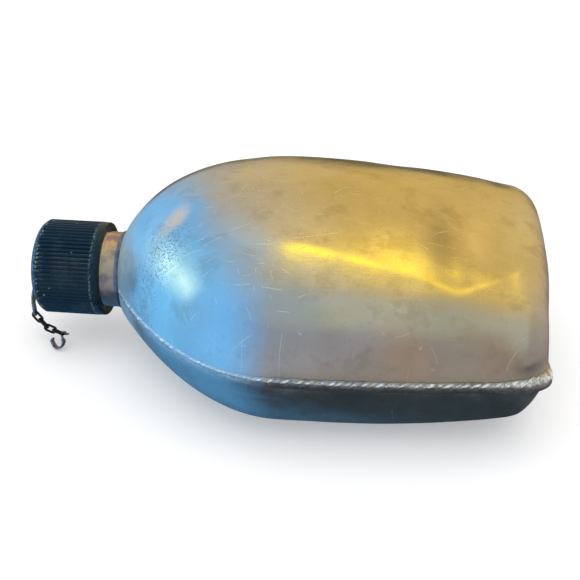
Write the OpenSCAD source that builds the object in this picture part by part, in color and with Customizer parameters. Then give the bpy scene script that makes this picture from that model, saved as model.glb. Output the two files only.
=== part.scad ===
// One-quart metal canteen: two stamped half shells welded together, a threaded
// neck and a ribbed screw cap with a short retaining chain. It lies on its
// concave back, with the neck axis along X and the cap towards -X.

/* [Body] */
// Length of the shells from the base to the foot of the neck
body_len = 166.4; // [164:0.2:168]
// Half of the greatest width
half_width = 70; // [68:0.5:72]
// Half of the width at the base
base_half_width = 62.2; // [60:0.2:65]
// Depth of the front shell from the seam, at mid length
front_depth = 42.8; // [40:0.1:45]
// Depth of the front shell from the seam, at the base
front_base_depth = 31; // [28:0.5:36]
// Depth of the back shell from the seam, at mid length
back_depth = 32.4; // [31:0.2:34]
// Depth of the back shell from the seam, at the base
back_base_depth = 24.5; // [22:0.5:30]
// Depth of the hollow along the middle of the back
back_hollow = 9; // [6:0.5:11]
// Distance from the base at which the shoulder starts
shoulder_start = 98.5; // [94:0.5:104]
// Sheet thickness of both shells
wall = 1.2; // [1:0.1:1.6]
// Corner radius of the base, seen from the front
base_corner = 9.5; // [8:0.5:12]
// Edge radius of the base, seen from the side
base_edge = 14.5; // [12:0.5:16]
// Depth of the worn dent in the front, near the base
dent_depth = 3; // [0:0.5:4]

/* [Seam] */
// Width of the weld bead along the seam
bead_width = 4.2; // [3.6:0.1:5]
// Height of the weld bead above the shells
bead_height = 0.9; // [0.6:0.1:1.2]

/* [Neck] */
// Radius of the bore of the neck
neck_bore_r = 11.5; // [11:0.1:12]
// Radius of the plain band under the cap
neck_band_r = 15.3; // [15.2:0.05:15.35]
// Pitch of the screw thread
thread_pitch = 4; // [4:0.1:4.2]

/* [Cap] */
// Outer diameter over the ribs
cap_dia = 38.2; // [38:0.1:40]
// Length of the cap
cap_len = 29.6; // [29.4:0.1:31]
// Number of grip ribs
cap_ribs = 68; // [48:1:72]

/* [Chain] */
// Wire diameter of a link
link_wire = 1; // [0.9:0.05:1.1]
// Distance from one link's pivot to the next
link_pitch = 3.65; // [3.6:0.05:3.8]
// Width of the flat strap that hangs from the cap
strap_width = 3.4; // [3:0.1:4]

/* [Hidden] */
$fn = 72;
join = 0.01;

// Along the axis, s runs from the base (0) to the end of the cap.
spigot_r = 13;
neck_foot_r = 15.1;
back_foot_depth = 19.9;
neck_shown = 7;
rim_s = body_len + neck_shown;
cap_end_s = rim_s + cap_len;
strap_thick = 0.7;
strap_bulge = 2.5;
strap_pivot = [-1.45, 20.9];
link_bend_r = link_wire + 0.15;
chain_reach = link_bend_r + link_wire / 2 - strap_pivot[0];
overall_len = cap_end_s + chain_reach;
base_x = overall_len / 2;
axis_h = back_depth;

// Section of the shells: share of the size that the round sides take.
front_side_share = 0.79;
back_side_share = 0.44;
// Shoulder profiles: how gently they start, and how steeply they end at the neck.
width_bend = [2, 1.08];
front_bend = [3.85, 1.18];
back_bend = [1.8, 1];
base_corner_power = 1.4;
base_edge_power = 2;
back_taper_len = 70;
base_crown = 1.1;
base_flat_y = 30;
dent_s = 26;
dent_y = -14;
dent_len = 24;
dent_wide = 26;

// Steps of the shell grid.
edge_rows = 5;
side_rows = 8;
shoulder_rows = 12;
last_col = 22;
last_row = edge_rows + side_rows + shoulder_rows + 1;

function clip(v) = max(0, min(1, v));
function mix(a, b, k) = a + (b - a) * k;
function shoulder_t(s, inset) = clip((s - shoulder_start) / (body_len - inset - shoulder_start));
function roundness(s, inset) = 1 - pow(shoulder_t(s, inset), 2);
function drop(s, r, n) = r * (1 - pow(1 - pow(clip(1 - s / r), n), 1 / n));
function arch(t, foot, top, bend) = foot + (top - foot) * pow(1 - pow(t, bend[0]), 1 / bend[1]);
function swell(s) = sin(90 * clip(s / shoulder_start));

// Half width, front depth and back depth at s, on a surface set inwards by inset.
function half_w(s, inset) = s > shoulder_start
    ? arch(shoulder_t(s, inset), neck_foot_r - inset, half_width - inset, width_bend)
    : mix(base_half_width, half_width, swell(s)) - inset
      - drop(s - inset, base_corner - inset, base_corner_power);
function front_d(s, inset) = s > shoulder_start
    ? arch(shoulder_t(s, inset), neck_foot_r - inset, front_depth - inset, front_bend)
    : mix(front_base_depth, front_depth, swell(s)) - inset
      - drop(s - inset, base_edge - inset, base_edge_power);
function back_d(s, inset) = s > shoulder_start
    ? arch(shoulder_t(s, inset), back_foot_depth - inset, back_depth - inset, back_bend)
    : mix(back_depth, back_base_depth, pow(clip(1 - s / back_taper_len), 2)) - inset
      - drop(s - inset, base_edge - inset, base_edge_power);
function crown_at(y) =
    base_crown * pow(max(0, abs(y) - base_flat_y) / (base_half_width - base_flat_y), 2);
function fade(s) = clip(1 - s / 60);
function dent(s, y) =
    dent_depth * exp(-pow((s - dent_s) / dent_len, 2) - pow((y - dent_y) / dent_wide, 2));

// Height of a section above or below the seam at y. The front is a wide arc between two round
// sides, or half an ellipse where it is deeper than wide; the back is two round sides with a
// hollow between them.
function side_share(k, m) = 1 - (1 - k) * m;
function front_height(y, w, f, m) =
    let (
        r = side_share(front_side_share, m) * f - 0.001,
        a = max(w - r, 0),
        big = (a * a + f * f - r * r) / (2 * (f - r)),
        meet = big * a / (big - r)
    )
    f >= w
        ? f * sqrt(max(0, 1 - pow(y / w, 2)))
        : abs(y) > meet ? sqrt(max(0, r * r - pow(abs(y) - a, 2))) : f - big + sqrt(big * big - y * y);
function back_height(y, w, b, m) =
    let (
        r = side_share(back_side_share, m) * w,
        flat = max(w - r, join),
        hollow = back_hollow * m * pow(b / back_depth, 2)
    )
    abs(y) > flat
        ? -b * sqrt(max(0, 1 - pow((abs(y) - flat) / r, 2)))
        : -b + hollow * (1 + cos(180 * y / flat)) / 2;

// Distance from the base of each row of the grid, on a surface set inwards by inset.
function row_s(i, inset) =
    i <= edge_rows
        ? inset + (base_edge - inset) * (1 - cos(90 * i / edge_rows))
        : i <= edge_rows + side_rows
            ? mix(base_edge, shoulder_start, (i - edge_rows) / side_rows)
            : mix(shoulder_start, body_len - inset, sin(90 * (i - edge_rows - side_rows) / shoulder_rows));

// Grid point: row 0 is the seam line across the base, rows 1 to last_row are sections.
function grid_pt(row, col, inset, front) =
    let (
        s0 = row_s(max(row - 1, 0), inset),
        m = roundness(s0, inset),
        w = half_w(s0, inset),
        y = -w * cos(180 * col / last_col),
        s = s0 + crown_at(y) * fade(s0),
        rise = front ? front_height(y, w, front_d(s0, inset), m) : back_height(y, w, back_d(s0, inset), m),
        height = front ? rise - dent(s, y) * clip(rise / front_base_depth) : rise
    )
    [row == 0 || col == 0 || col == last_col ? 0 : height, y, s];
function neck_lip(col, front) =
    let (a = 180 * col / last_col) [(front ? 1 : -1) * spigot_r * sin(a), -spigot_r * cos(a), body_len];

cols = last_col + 1;
rows = last_row + 1;
function at(layer, row, col) =
    layer * rows * cols + (row == 0 && (col == 0 || col == last_col) ? 1 : row) * cols + col;
function lip_at(col) = 2 * rows * cols + col;
function quad(a, b, c, d, flip) = flip ? [[a, d, c, b]] : [[a, b, c, d]];
function tris(q) = [for (f = q) each [[f[0], f[1], f[2]], [f[0], f[2], f[3]]]];
function proper(faces) = [for (f = faces) if (f[0] != f[1] && f[1] != f[2] && f[2] != f[0]) f];

// A closed half shell: outer skin, inner skin, seam faces and the round opening for the neck.
module half_shell(front) {
    points = concat(
        [for (row = [0:last_row], col = [0:last_col]) grid_pt(row, col, 0, front)],
        [for (row = [0:last_row], col = [0:last_col]) grid_pt(row, col, wall, front)],
        [for (col = [0:last_col]) neck_lip(col, front)]
    );
    outer = [for (row = [0:last_row - 1], col = [0:last_col - 1])
        each quad(at(0, row, col), at(0, row + 1, col), at(0, row + 1, col + 1), at(0, row, col + 1), !front)];
    inner = [for (row = [0:last_row - 1], col = [0:last_col - 1])
        each quad(at(1, row, col), at(1, row + 1, col), at(1, row + 1, col + 1), at(1, row, col + 1), front)];
    sides = [for (row = [1:last_row - 1]) each concat(
        quad(at(0, row, 0), at(1, row, 0), at(1, row + 1, 0), at(0, row + 1, 0), !front),
        quad(at(0, row, last_col), at(1, row, last_col), at(1, row + 1, last_col),
            at(0, row + 1, last_col), front))];
    base_seam = [for (col = [0:last_col - 1])
        each quad(at(0, 0, col), at(0, 0, col + 1), at(1, 0, col + 1), at(1, 0, col), !front)];
    lip = [for (col = [0:last_col - 1]) each concat(
        quad(at(0, last_row, col), lip_at(col), lip_at(col + 1), at(0, last_row, col + 1), !front),
        quad(at(1, last_row, col), lip_at(col), lip_at(col + 1), at(1, last_row, col + 1), front))];
    lip_sides = front
        ? [[at(0, last_row, 0), at(1, last_row, 0), lip_at(0)],
           [at(0, last_row, last_col), lip_at(last_col), at(1, last_row, last_col)]]
        : [[at(0, last_row, 0), lip_at(0), at(1, last_row, 0)],
           [at(0, last_row, last_col), at(1, last_row, last_col), lip_at(last_col)]];
    polyhedron(points, proper(concat(tris(concat(outer, inner, sides, base_seam, lip)), lip_sides)));
}

// The neck axis points up (+Z) inside on_axis, and the front of the canteen is +X there.
module on_axis() {
    translate([base_x, 0, axis_h]) rotate([0, -90, 0]) children();
}

module front_shell() {
    color("silver") on_axis() half_shell(true);
}

module back_shell() {
    color("gainsboro") on_axis() half_shell(false);
}

// Weld bead: a rounded section swept down one side, across the base and up the other side.
bead_end_s = body_len - 1;
bead_base_steps = 16;
bead_side_rows = edge_rows + side_rows + shoulder_rows - 2;
bead_embed = 0.7;
bead_side = [for (i = [0:bead_side_rows])
    let (s = row_s(i, 0), w = half_w(s, 0)) [w, s + crown_at(w) * fade(s)]];
bead_base = [for (i = [1:bead_base_steps - 1])
    let (y = half_w(0, 0) * (2 * i / bead_base_steps - 1)) [y, crown_at(y)]];
bead_path = concat(
    [[-half_w(bead_end_s, 0), bead_end_s]],
    [for (i = [bead_side_rows:-1:0]) [-bead_side[i][0], bead_side[i][1]]],
    bead_base,
    bead_side,
    [[half_w(bead_end_s, 0), bead_end_s]]
);
bead_last = len(bead_path) - 1;
bead_section = [for (a = [0:45:315]) [sin(a), bead_width / 2 * cos(a)]];
bead_sides = len(bead_section);
// The bead is filed flush across the base, so that the canteen stands on the flat of its base.
function bead_rise(s) = min(bead_height, 0.9 * s - 0.05);
function bead_dir(i) =
    let (d = bead_path[min(i + 1, bead_last)] - bead_path[max(i - 1, 0)]) d / norm(d);
function bead_pt(i, k) =
    let (
        d = bead_dir(i),
        p = bead_path[i],
        q = bead_section[k],
        out = q[0] * (q[0] > 0.1 ? bead_rise(p[1]) : bead_embed)
    )
    [q[1], p[0] + d[1] * out, p[1] - d[0] * out];

module seam_weld() {
    points = [for (i = [0:bead_last], k = [0:bead_sides - 1]) bead_pt(i, k)];
    walls = [for (i = [0:bead_last - 1], k = [0:bead_sides - 1])
        let (n = (k + 1) % bead_sides)
        each tris([[i * bead_sides + k, i * bead_sides + n, (i + 1) * bead_sides + n,
            (i + 1) * bead_sides + k]])];
    start = [[for (k = [bead_sides - 1:-1:0]) k]];
    end = [[for (k = [0:bead_sides - 1]) bead_last * bead_sides + k]];
    color("lightgray") on_axis() polyhedron(points, concat(walls, start, end));
}

// Neck: spigot inside the shells, plain band, thread run-out ring and threaded mouth.
spigot_len = 3.5;
band_len = 6.5;
runout_r = 14.9;
runout_len = 2.2;
thread_root_r = 13.6;
thread_crest_r = 15;
thread_start_s = rim_s + 3;
thread_turns = 3;
lip_s = rim_s + 22.2;
lip_round = 0.8;
ridge_base = 1.8;
ridge_crest = 0.9;
thread_steps = 24;

// A helical ridge: foot_r is inside the wall that carries it, tip_r is its crest.
module helix(foot_r, tip_r, turns, first_angle) {
    steps = ceil(turns * thread_steps);
    section = [[foot_r, -ridge_base / 2], [tip_r, -ridge_crest / 2], [tip_r, ridge_crest / 2],
        [foot_r, ridge_base / 2]];
    points = [for (i = [0:steps], p = section)
        let (a = first_angle + 360 * turns * i / steps, z = thread_pitch * (a - first_angle) / 360)
        [p[0] * cos(a), p[0] * sin(a), z + p[1]]];
    outward = tip_r > foot_r;
    walls = [for (i = [0:steps - 1], k = [0:3]) let (n = (k + 1) % 4)
        each tris(quad(4 * i + k, 4 * i + 4 + k, 4 * i + 4 + n, 4 * i + n, outward))];
    first = outward ? [[0, 2, 1], [0, 3, 2]] : [[0, 1, 2], [0, 2, 3]];
    last = [for (f = first) [4 * steps + f[0], 4 * steps + f[2], 4 * steps + f[1]]];
    polyhedron(points, concat(walls, first, last));
}

module neck() {
    color("lightsteelblue") on_axis() {
        rotate_extrude()
            polygon([
                [neck_bore_r, body_len - spigot_len], [spigot_r, body_len - spigot_len],
                [spigot_r, body_len], [neck_band_r, body_len], [neck_band_r, body_len + band_len],
                [runout_r, body_len + band_len + 0.3], [runout_r, body_len + band_len + runout_len],
                [thread_root_r, body_len + band_len + runout_len + 0.8],
                [thread_root_r, lip_s - lip_round], [thread_root_r - lip_round, lip_s],
                [neck_bore_r + lip_round, lip_s], [neck_bore_r, lip_s - lip_round]
            ]);
        translate([0, 0, thread_start_s]) helix(thread_root_r - 0.3, thread_crest_r, thread_turns, 0);
    }
}

// Weld around the foot of the neck.
neck_weld_r = 14.7;
neck_weld_wire = 1.2;
module neck_weld() {
    color("gray") on_axis() translate([0, 0, body_len + neck_weld_wire / 2])
        rotate_extrude() translate([neck_weld_r, 0]) circle(r = neck_weld_wire, $fn = 32);
}

// Cap: u runs from its rim (0) to its domed end.
cap_bore_r = 15.45;
cap_root_r = cap_dia / 2 - 0.75;
cap_rim_r = cap_dia / 2 - 0.1;
cap_inner_end = 24.5;
rib_start = 3.2;
rib_end = cap_len - 4.6;
dome_height = cap_len - rib_end + 0.4;
dome_steps = 9;
dome_power = 0.62;
dome_r = cap_dia / 2 - 0.35;
mouth_chamfer = 0.6;
ridge_tip_r = 14;
cap_thread_turns = 2;
pin_r = 1.5;
pin_bore_r = pin_r + 0.05;

module rib_ring() {
    step = 360 / cap_ribs;
    outline = [for (i = [0:cap_ribs - 1], p = [[-0.36, 0], [-0.2, 1], [0.2, 1], [0.36, 0]])
        let (a = step * (i + p[0]), r = p[1] > 0 ? cap_dia / 2 : cap_root_r)
        [r * cos(a), r * sin(a)]];
    linear_extrude(rib_end - rib_start) difference() {
        polygon(outline);
        circle(r = cap_root_r - 1);
    }
}

module cap_shell() {
    dome = [for (i = [1:dome_steps]) let (a = 90 * i / dome_steps)
        [dome_r * pow(cos(a), dome_power), cap_len - dome_height + dome_height * sin(a)]];
    color("dimgray") on_axis() translate([0, 0, rim_s]) {
        rotate_extrude()
            polygon(concat(
                [[cap_bore_r + mouth_chamfer, 0], [cap_rim_r - mouth_chamfer, 0], [cap_rim_r, mouth_chamfer],
                 [cap_rim_r, rib_start], [cap_root_r, rib_start + 0.2], [cap_root_r, rib_end - 0.3],
                 [dome_r, rib_end - 0.3]],
                [for (p = dome) if (p[0] > pin_bore_r) p],
                [[pin_bore_r, cap_len - join], [pin_bore_r, cap_inner_end],
                 [cap_bore_r, cap_inner_end], [cap_bore_r, mouth_chamfer]]
            ));
        translate([0, 0, rib_start]) rib_ring();
        translate([0, 0, thread_start_s + thread_pitch * 1.5 - rim_s])
            helix(cap_bore_r + 0.3, ridge_tip_r, cap_thread_turns, 0);
    }
}

// Sealing ring between the cap's inner end and the lip of the neck.
gasket_r = cap_bore_r - 0.2;
gasket_hole_r = 5;
gasket_gap = 0.1;
module cap_gasket() {
    thick = rim_s + cap_inner_end - lip_s - gasket_gap;
    color("saddlebrown") on_axis() translate([0, 0, rim_s + cap_inner_end - thick])
        difference() {
            cylinder(r = gasket_r, h = thick);
            translate([0, 0, -1]) cylinder(r = gasket_hole_r, h = thick + 2);
        }
}

// Pin through the cap's end, riveted over a washer inside, with a head outside the strap.
washer_r = 4.2;
washer_thick = 0.6;
washer_gap = 0.1;
clench_r = 2.6;
clench_thick = 0.9;
head_r = 2.8;
head_thick = 1.2;
strap_gap = 0.2;
washer_top_s = rim_s + cap_inner_end - washer_gap;
head_s = cap_end_s + strap_gap + strap_thick + 0.1;

module cap_pin() {
    clench_s = washer_top_s - washer_thick - clench_thick;
    color("slategray") on_axis()
        rotate_extrude()
            polygon([
                [0, clench_s], [clench_r * 0.7, clench_s], [clench_r, clench_s + clench_thick / 2],
                [clench_r, clench_s + clench_thick], [pin_r, clench_s + clench_thick], [pin_r, head_s],
                [head_r, head_s], [head_r, head_s + head_thick / 2], [head_r * 0.7, head_s + head_thick],
                [0, head_s + head_thick]
            ]);
}

module pin_washer() {
    color("darkgray") on_axis() translate([0, 0, washer_top_s - washer_thick])
        difference() {
            cylinder(r = washer_r, h = washer_thick);
            translate([0, 0, -1]) cylinder(r = pin_r, h = washer_thick + 2);
        }
}

// The chain hangs in a plane through the neck axis. In that plane a point is [toward the base
// from the cap's end, down from the axis]; the plane leans so that the hook touches the ground.
// A link across the plane keeps the lean of the link above it, so that it hangs square in it.
hook_low = 34.8;
hook_width = 3.2;
chain_lean = acos(axis_h / norm([hook_low, hook_width / 2])) + atan(hook_width / 2 / hook_low);
link_lean = [45.5, 45.5, 70.5, 70.5];
link_straight = link_pitch - link_bend_r;
function along(a) = [sin(a), cos(a)];
function pivot(i) = i == 0 ? strap_pivot : pivot(i - 1) + link_pitch * along(link_lean[i - 1]);

module in_chain_plane() {
    translate([base_x - cap_end_s, 0, axis_h]) rotate([-chain_lean, 0, 0]) children();
}

// A flat strip of even thickness along a path of [toward the base, down] points.
function path_dir(path, i) =
    let (d = path[min(i + 1, len(path) - 1)] - path[max(i - 1, 0)]) d / norm(d);
function beside(path, i, gap) = path[i] + gap * [path_dir(path, i)[1], -path_dir(path, i)[0]];
module strip(path, thick, width) {
    last = len(path) - 1;
    outline = concat(
        [for (i = [0:last]) beside(path, i, thick / 2)],
        [for (i = [last:-1:0]) beside(path, i, -thick / 2)]
    );
    rotate([90, 0, 0]) translate([0, 0, -width / 2]) linear_extrude(width)
        polygon([for (p = outline) [p[0], -p[1]]]);
}

strap_flat = -(strap_gap + strap_thick / 2);
strap_eye_r = 2.8;
strap_tail = 0.55;
strap_path = [
    [strap_flat, -strap_eye_r], [strap_flat, 4], [-1.2, 6.6], [-2, 9.6], [-strap_bulge, 13],
    [-2.4, 16], [-1.9, 18.8], strap_pivot, [strap_pivot[0] + 0.1, strap_pivot[1] + strap_tail]
];
link_hole_r = 0.85;
strap_bar = 0.9;
module chain_strap() {
    hole_d = strap_pivot[1] - strap_bar / 2 - link_hole_r;
    end_r = strap_width / 2;
    end_d = strap_pivot[1] + strap_tail - end_r;
    color("lightslategray") in_chain_plane() difference() {
        intersection() {
            strip(strap_path, strap_thick, 2 * strap_eye_r);
            translate([-strap_bulge - 1, 0, 0]) rotate([0, 90, 0]) linear_extrude(strap_bulge + 2) union() {
                circle(r = strap_eye_r);
                translate([end_d / 2, 0]) square([end_d, strap_width], center = true);
                translate([end_d, 0]) circle(r = end_r);
            }
        }
        translate([-2, 0, 0]) rotate([0, 90, 0]) cylinder(r = pin_r + 0.08, h = 4, $fn = 48);
        translate([-4, 0, -hole_d]) rotate([0, 90, 0]) cylinder(r = link_hole_r, h = 5, $fn = 48);
    }
}

// An oval wire link with its top bend centred on the origin, hanging down in the XZ plane.
module oval_link() {
    for (end = [0, 1])
        translate([0, 0, -end * link_straight]) rotate([90, 0, 0]) rotate([0, 0, end * 180])
            rotate_extrude(angle = 180) translate([link_bend_r, 0]) circle(d = link_wire, $fn = 24);
    for (side = [-1, 1])
        translate([side * link_bend_r, 0, -link_straight])
            cylinder(d = link_wire, h = link_straight, $fn = 24);
}

// Links alternate between lying in the chain's plane and lying across it.
module link(i) {
    p = pivot(i);
    color("darkslategray") in_chain_plane() translate([p[0], 0, -p[1]])
        rotate([0, -link_lean[i], 0]) rotate([0, 0, i % 2 == 0 ? 0 : 90]) oval_link();
}
module link_1() link(0);
module link_2() link(1);
module link_3() link(2);
module link_4() link(3);

// A bent strip of spring metal, narrow where it passes through the last link.
hook_thick = 0.7;
hook_tip_width = 1;
hook_bend_r = link_wire / 2 + 0.15 + hook_thick / 2;
hook_turn = [for (a = [150:-30:-90]) [sin(a), -cos(a)] * hook_bend_r];
hook_run = [[-0.5, 1.6], [0.1, 3.2], [-0.4, 4.7], [-1.2, 5.6], [-2.3, 6], [-3.4, 5.5], [-4.3, 4.3],
    [-4.9, 3], [-4.6, 2]];
module end_hook() {
    eye = pivot(4);
    low = hook_low - hook_thick / 2 - eye[1];
    reach = low / 6;
    path = concat(
        [[2.1, -0.35]],
        [for (p = hook_turn) if (p[1] < 0.3) p],
        [for (p = hook_run) [p[0], p[1] * reach]]
    );
    color("silver") in_chain_plane() translate([eye[0], 0, -eye[1]]) difference() {
        strip(path, hook_thick, hook_width);
        for (side = [-1, 1])
            translate([-2, side * (hook_tip_width / 2 + hook_width / 2), -1])
                translate([0, -hook_width / 2, -1]) cube([6, hook_width, 4]);
    }
}

front_shell();
back_shell();
seam_weld();
neck();
neck_weld();
cap_shell();
cap_gasket();
cap_pin();
pin_washer();
chain_strap();
link_1();
link_2();
link_3();
link_4();
end_hook();
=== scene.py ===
import math
import random

import bpy
import numpy as np
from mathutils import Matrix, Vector, noise


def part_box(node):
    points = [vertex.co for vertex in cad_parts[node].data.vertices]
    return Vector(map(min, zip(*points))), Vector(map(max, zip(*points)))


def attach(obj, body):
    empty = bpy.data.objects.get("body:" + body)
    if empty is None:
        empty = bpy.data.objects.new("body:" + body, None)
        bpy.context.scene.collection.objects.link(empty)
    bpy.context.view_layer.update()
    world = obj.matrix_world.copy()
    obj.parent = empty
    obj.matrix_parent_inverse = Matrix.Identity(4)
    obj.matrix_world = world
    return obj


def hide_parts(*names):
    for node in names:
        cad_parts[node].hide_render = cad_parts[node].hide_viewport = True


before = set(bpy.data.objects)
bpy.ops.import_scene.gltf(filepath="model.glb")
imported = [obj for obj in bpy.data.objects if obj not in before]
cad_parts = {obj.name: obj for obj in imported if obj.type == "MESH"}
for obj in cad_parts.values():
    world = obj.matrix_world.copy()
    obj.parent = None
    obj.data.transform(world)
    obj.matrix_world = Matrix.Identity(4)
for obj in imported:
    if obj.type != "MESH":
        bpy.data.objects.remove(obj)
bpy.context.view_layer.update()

random.seed(7)

# ---------------------------------------------------------------------------
# Sizes, in millimetres along and across the neck axis, read from the frame.
# s is the distance from the base, y the distance across, h the height above the seam.
# ---------------------------------------------------------------------------
MM = 0.001
shell_low, shell_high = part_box("front_shell")
back_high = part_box("back_shell")[1]
cap_low, cap_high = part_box("cap_shell")

BASE_X = shell_high.x / MM
AXIS_Z = back_high.z / MM
BODY_LEN = BASE_X - shell_low.x / MM
HALF_WIDTH = back_high.y / MM
FRONT_DEPTH = shell_high.z / MM - AXIS_Z
BACK_DEPTH = AXIS_Z
RIM_S = BASE_X - cap_high.x / MM
CAP_END_S = BASE_X - cap_low.x / MM
CAP_LEN = CAP_END_S - RIM_S
CAP_R = (cap_high.y - cap_low.y) / MM / 2
NECK_MIDDLE_Z = AXIS_Z * MM

# Sizes that the frame doesn't give. They are the CAD's, except that the front's base edge is fuller.
BASE_HALF_WIDTH = 62.2
FRONT_BASE_DEPTH = 31
BACK_BASE_DEPTH = 24.5
BACK_HOLLOW = 9
SHOULDER_START = 98.5
WALL = 1.2
BASE_CORNER = 9.5
BASE_CORNER_POWER = 1.4
BASE_EDGE = 14.5
FRONT_EDGE_POWER = 2.4
BACK_EDGE_POWER = 2
NECK_FOOT_R = 15.1
BACK_FOOT_DEPTH = 19.9
BACK_TAPER_LEN = 70
CROWN = 1.1
CROWN_FROM_Y = 30
CROWN_FADE_LEN = 60
FRONT_SIDE_SHARE = 0.79
BACK_SIDE_SHARE = 0.44
WIDTH_BEND = (2, 1.08)
FRONT_BEND = (3.85, 1.18)
BACK_BEND = (1.8, 1)


def clip(v):
    return np.clip(v, 0.0, 1.0)


def mix(a, b, k):
    return a + (b - a) * k


def smooth(v, low, high):
    t = clip((v - low) / (high - low))
    return t * t * (3 - 2 * t)


def hump(v, middle, reach):
    """1 in the middle, falling smoothly to 0 a little past reach on each side."""
    return np.exp(-(((v - middle) / reach) ** 2))


def spot(s, y, s0, y0, along, across):
    """1 at (s0, y0), falling smoothly to 0 around it."""
    return hump(s, s0, along) * hump(y, y0, across)


def shoulder_t(s):
    return clip((s - SHOULDER_START) / (BODY_LEN - SHOULDER_START))


def arch(t, foot, top, bend):
    return foot + (top - foot) * (1 - t ** bend[0]) ** (1 / bend[1])


def drop(s, r, power):
    return r * (1 - (1 - clip(1 - s / r) ** power) ** (1 / power))


def swell(s):
    return np.sin(math.pi / 2 * clip(s / SHOULDER_START))


def half_width(s):
    body = mix(BASE_HALF_WIDTH, HALF_WIDTH, swell(s)) - drop(s, BASE_CORNER, BASE_CORNER_POWER)
    return np.where(s > SHOULDER_START, arch(shoulder_t(s), NECK_FOOT_R, HALF_WIDTH, WIDTH_BEND), body)


def front_depth(s):
    body = mix(FRONT_BASE_DEPTH, FRONT_DEPTH, swell(s)) - drop(s, BASE_EDGE, FRONT_EDGE_POWER)
    return np.where(s > SHOULDER_START, arch(shoulder_t(s), NECK_FOOT_R, FRONT_DEPTH, FRONT_BEND), body)


def back_depth(s):
    taper = clip(1 - s / BACK_TAPER_LEN) ** 2
    body = mix(BACK_DEPTH, BACK_BASE_DEPTH, taper) - drop(s, BASE_EDGE, BACK_EDGE_POWER)
    return np.where(s > SHOULDER_START, arch(shoulder_t(s), BACK_FOOT_DEPTH, BACK_DEPTH, BACK_BEND), body)


def front_height(y, w, f, m):
    r = (1 - (1 - FRONT_SIDE_SHARE) * m) * f - 0.001
    a = np.maximum(w - r, 0)
    big = (a * a + f * f - r * r) / (2 * (f - r))
    meet = big * a / (big - r)
    side = np.sqrt(np.maximum(0, r * r - (np.abs(y) - a) ** 2))
    oval = f * np.sqrt(np.maximum(0, 1 - (y / w) ** 2))
    arcs = np.where(np.abs(y) > meet, side, f - big + np.sqrt(np.maximum(0, big * big - y * y)))
    return np.where(f >= w, oval, arcs)


def back_height(y, w, b, m):
    r = (1 - (1 - BACK_SIDE_SHARE) * m) * w
    flat = np.maximum(w - r, 0.01)
    hollow = BACK_HOLLOW * m * (b / BACK_DEPTH) ** 2
    side = -b * np.sqrt(np.maximum(0, 1 - ((np.abs(y) - flat) / r) ** 2))
    return np.where(np.abs(y) > flat, side, -b + hollow * (1 + np.cos(math.pi * y / flat)) / 2)


def crown_at(y):
    return CROWN * (np.maximum(0, np.abs(y) - CROWN_FROM_Y) / (BASE_HALF_WIDTH - CROWN_FROM_Y)) ** 2


def crown_fade(s):
    return clip(1 - s / CROWN_FADE_LEN)


def to_world(s, y, h):
    return np.stack([(BASE_X - s) * MM, y * MM, (AXIS_Z + h) * MM], -1)


# ---------------------------------------------------------------------------
# Mesh helpers
# ---------------------------------------------------------------------------
def new_mesh(name, points, faces, sharp_deg=None):
    mesh = bpy.data.meshes.new(name)
    mesh.from_pydata([tuple(p) for p in points], [], faces)
    mesh.validate()
    mesh.shade_smooth()
    if sharp_deg is not None:
        mesh.set_sharp_from_angle(angle=math.radians(sharp_deg))
    mesh.update()
    obj = bpy.data.objects.new(name, mesh)
    bpy.context.scene.collection.objects.link(obj)
    return obj


def grid_faces(rows, cols, wrap_rows=False, wrap_cols=False, flip=False):
    faces = []
    for i in range(rows if wrap_rows else rows - 1):
        below = i * cols
        above = (i + 1) % rows * cols
        for j in range(cols if wrap_cols else cols - 1):
            k = (j + 1) % cols
            quad = (below + j, below + k, above + k, above + j)
            faces.append(quad[::-1] if flip else quad)
    return faces


def add_attribute(obj, name, values):
    attribute = obj.data.attributes.new(name, "FLOAT", "POINT")
    attribute.data.foreach_set("value", np.asarray(values, np.float32).ravel())


def wave(points, size, seed):
    """Smooth noise from -1 to 1 at points in millimetres, with features about size across."""
    shift = Vector((seed * 17.3, seed * 5.1, seed * 9.7))
    flat = points.reshape(-1, 3)
    values = [noise.noise(Vector(p) / size + shift) for p in flat]
    return np.array(values).reshape(points.shape[:-1])


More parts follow.
